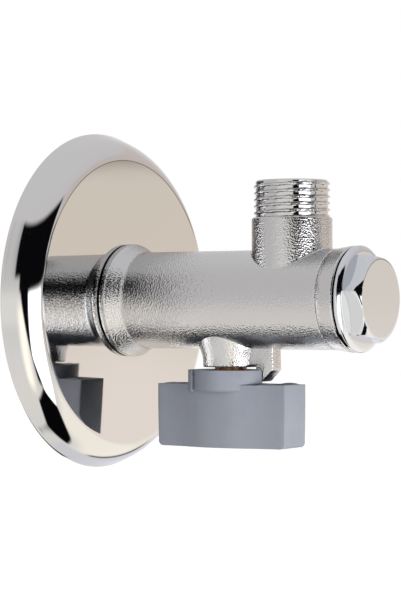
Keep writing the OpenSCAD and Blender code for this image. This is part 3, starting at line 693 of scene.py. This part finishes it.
world = bpy.data.worlds.new("studio")
bpy.context.scene.world = world
world.use_nodes = True
world.cycles.sampling_method = "NONE"
sky = world.node_tree.nodes["Background"]
where = node(world, "ShaderNodeTexCoord").outputs["Generated"]
xyz = node(world, "ShaderNodeSeparateXYZ")
link(world, where, xyz.inputs[0])
forward_y = maths(world, "MULTIPLY", xyz.outputs["Y"], -1)
side_angle = maths(world, "MULTIPLY", maths(world, "ARCTAN2", forward_y, xyz.outputs["X"]), math.degrees(1))
rise_angle = maths(world, "MULTIPLY", maths(world, "ARCSINE", xyz.outputs["Z"], 0), math.degrees(1))
downwards = maths(world, "MAXIMUM", maths(world, "MULTIPLY", xyz.outputs["Z"], -1), 0.001)
table_x = maths(world, "DIVIDE", xyz.outputs["X"], downwards)
table_y = maths(world, "DIVIDE", xyz.outputs["Y"], downwards)


def between(value, low, high, soft):
    """1 where a value lies between two limits, falling off softly."""
    ends = []
    for limit, sign in ((low, 1), (high, -1)):
        n = node(world, "ShaderNodeMapRange", interpolation_type="SMOOTHSTEP", From_Min=-soft, From_Max=soft)
        link(world, maths(world, "MULTIPLY", maths(world, "SUBTRACT", value, limit), sign), n.inputs["Value"])
        ends.append(n.outputs["Result"])
    return maths(world, "MULTIPLY", ends[0], ends[1])


def cover(under, mask, colour):
    """Lays a colour over what is seen, where the mask is 1."""
    mix = node(world, "ShaderNodeMix", data_type="RGBA")
    link(world, mask, mix.inputs["Factor"])
    link(world, under, mix.inputs[6])
    mix.inputs[7].default_value = (*colour, 1)
    return mix.outputs[2]


def board(under, colour, sides, rises, soft=4.0, slope=0.0):
    """A board in those directions, in degrees. Its upper edge may climb with the angle."""
    top = maths(world, "SUBTRACT", rise_angle, maths(world, "MULTIPLY", side_angle, slope))
    above = between(rise_angle, rises[0], 200, soft)
    rising = maths(world, "MULTIPLY", above, between(top, -200, rises[1], soft))
    return cover(under, maths(world, "MULTIPLY", between(side_angle, *sides, soft), rising), colour)


def table_patch(under, colour, xs, ys, soft):
    """A patch on the table under the tap, in heights of the tap above it."""
    patch = maths(world, "MULTIPLY", between(table_x, *xs, soft), between(table_y, *ys, soft))
    return cover(under, patch, colour)


mirror_grey = 0.63


def tone(r, g, b, gain=1.0):
    """The light that chrome has to mirror to show that colour on a screen."""
    return tuple(gain * ((c / 255 + 0.055) / 1.055) ** 2.4 / mirror_grey for c in (r, g, b))


dome = node(world, "ShaderNodeValToRGB")
link(world, ramp(world, rise_angle, -90, 90, 0, 1), dome.inputs[0])
stops = dome.color_ramp.elements
stops[0].position = 0.0
stops[0].color = (*tone(207, 206, 204), 1)
stops[1].position = 1.0
stops[1].color = (*tone(190, 190, 192), 1)
for position, colour in ((0.16, (213, 210, 205)), (0.3, (209, 207, 205)), (0.5, (196, 195, 194)),
                         (0.66, (186, 184, 184)), (0.8, (190, 189, 190))):
    stop_at = stops.new(position)
    stop_at.color = (*tone(*colour), 1)
light = dome.outputs["Color"]
light = board(light, tone(184, 182, 182), (110, 181), (-20, 58), 8)
light = board(light, tone(206, 202, 198), (110, 181), (-45, -12), 8)
light = board(light, tone(198, 198, 204), (-123, -101), (-76, -8), 4)
light = board(light, tone(242, 240, 236, 1.15), (-152, -125), (-52, -16), 5)
light = board(light, tone(203, 194, 182), (-100, -25), (-26, 8.5), 6)
light = board(light, tone(222, 213, 205), (-100, -25), (-26, -1.6), 2.4)
light = board(light, tone(186, 177, 174), (-100, -25), (8.5, 34), 2.5)
light = board(light, tone(112, 101, 92), (-88, -14), (6, 9), 1)
light = board(light, tone(236, 230, 220), (-95, -8), (-64, -26), 8)
light = board(light, tone(95, 90, 90), (-101, -95.5), (-54, -22), 3)
light = board(light, tone(70, 68, 72), (-22.5, -18), (-16, 8), 1.5)
light = board(light, tone(214, 213, 209), (58, 106), (-16, 5), 6)
light = board(light, tone(246, 238, 224, 1.2), (45, 64), (-54, -3), 8)
# The camera's stand leans, and the lower corner of the white card beside it is cut off.
stand_lean = 0.5
card_cut = 1.15
stand_side = maths(world, "SUBTRACT", side_angle, maths(world, "MULTIPLY", rise_angle, stand_lean))
stand = maths(world, "MULTIPLY", between(stand_side, 30, 55.3, 2.5), between(rise_angle, -46, 10, 4))
light = cover(light, maths(world, "MULTIPLY", stand, between(side_angle, 22, 90, 4)), tone(8, 8, 12))
cut = maths(world, "SUBTRACT", side_angle, maths(world, "MULTIPLY", rise_angle, card_cut))
card = maths(world, "MULTIPLY", between(side_angle, 0, 37.5, 2.5), between(rise_angle, -51.5, 5.2, 2.5))
card = maths(world, "MULTIPLY", card, between(cut, -100, 73, 3))
light = cover(light, card, tone(254, 254, 255, 1.8))
light = board(light, tone(8, 8, 10), (-18, 75), (14, 38), 3, 0.16)
light = board(light, tone(8, 8, 10), (-18, 61), (5.2, 20), 2.5)
light = board(light, tone(20, 20, 24), (170, 181), (-15, 15), 4)
light = board(light, tone(20, 20, 24), (-181, -144), (-15, 15), 4)
# A dark case stands askew on the table, with a dark cloth beside it.
front_lean = 2.3
back_lean = 1.05
askew = maths(world, "ADD", table_x, maths(world, "MULTIPLY", table_y, front_lean))
askew_back = maths(world, "ADD", table_x, maths(world, "MULTIPLY", table_y, back_lean))
case = maths(world, "MULTIPLY", between(askew, -9, 0.95, 0.08), between(askew_back, -0.05, 9, 0.04))
case = maths(world, "MULTIPLY", case, between(table_x, 0, 0.86, 0.04))
light = cover(light, maths(world, "MULTIPLY", case, between(table_y, -0.39, 0.32, 0.04)), tone(6, 6, 8))
light = table_patch(light, tone(1, 1, 2), (-1.25, -0.3), (-0.22, 0.62), 0.08)
rays = node(world, "ShaderNodeLightPath")
soft_light = node(world, "ShaderNodeMix", data_type="RGBA")
room = node(world, "ShaderNodeMix", data_type="RGBA")
link(world, ramp(world, xyz.outputs["X"], -0.8, 1, 0, 1), room.inputs["Factor"])
room.inputs[6].default_value = (0.03, 0.03, 0.035, 1)
room.inputs[7].default_value = (1.65, 1.65, 1.66, 1)
link(world, rays.outputs["Is Glossy Ray"], soft_light.inputs["Factor"])
link(world, room.outputs[2], soft_light.inputs[6])
# Light that the chrome throws on the plastic is kept dim, and so is what is mirrored three times.
mirrored = node(world, "ShaderNodeMix", data_type="RGBA")
first_look = maths(world, "LESS_THAN", rays.outputs["Diffuse Depth"], 0.5)
few_mirrors = maths(world, "LESS_THAN", rays.outputs["Glossy Depth"], 2.5)
link(world, maths(world, "MULTIPLY", first_look, few_mirrors), mirrored.inputs["Factor"])
mirrored.inputs[6].default_value = (0.06, 0.06, 0.07, 1)
link(world, light, mirrored.inputs[7])
link(world, mirrored.outputs[2], soft_light.inputs[7])
white = node(world, "ShaderNodeMix", data_type="RGBA")
unlit = maths(world, "MAXIMUM", rays.outputs["Is Camera Ray"], rays.outputs["Is Transmission Ray"])
link(world, unlit, white.inputs["Factor"])
link(world, soft_light.outputs[2], white.inputs[6])
white.inputs[7].default_value = (1, 1, 1, 1)
link(world, white.outputs[2], sky.inputs["Color"])
sky.inputs["Strength"].default_value = 1.0


def lamp(name, place, target, size, power):
    """A soft box that lights the plastic and the floor."""
    light = bpy.data.lights.new(name, "AREA")
    light.shape = "RECTANGLE"
    light.size, light.size_y = size
    light.energy = power
    holder = bpy.data.objects.new(name, light)
    bpy.context.scene.collection.objects.link(holder)
    holder.location = place
    holder.rotation_euler = (Vector(target) - Vector(place)).to_track_quat("-Z", "Y").to_euler()
    holder.visible_glossy = False
    holder.visible_camera = False


lamp("cap_side_box", (0.95, -0.25, -0.12), (0.05, 0, -0.03), (0.3, 0.2), 7)
lamp("front_box", (0, -0.9, 0.1), (0.05, 0, 0), (0.7, 0.6), 2)
lamp("top_box", (0.05, 0.0, 0.9), (0.05, 0, 0), (0.8, 0.8), 2)

camera = bpy.data.cameras.new("camera")
camera.lens = 125.92
camera.sensor_width = 36
eye = bpy.data.objects.new("camera", camera)
bpy.context.scene.collection.objects.link(eye)
spot = (0.35052, -0.50183, -0.00191)
yaw, pitch, roll = 0.563, 0.003, -0.003
forward = Vector((-math.sin(yaw) * math.cos(pitch), math.cos(yaw) * math.cos(pitch), math.sin(pitch)))
level = Vector((math.cos(yaw), math.sin(yaw), 0))
upward = level.cross(forward)
right = math.cos(roll) * level + math.sin(roll) * upward
over = -math.sin(roll) * level + math.cos(roll) * upward
turned = Matrix((right, over, -forward)).transposed()
eye.matrix_world = Matrix.Translation(spot) @ turned.to_4x4()
bpy.context.scene.camera = eye
bpy.context.scene.view_settings.view_transform = "Standard"
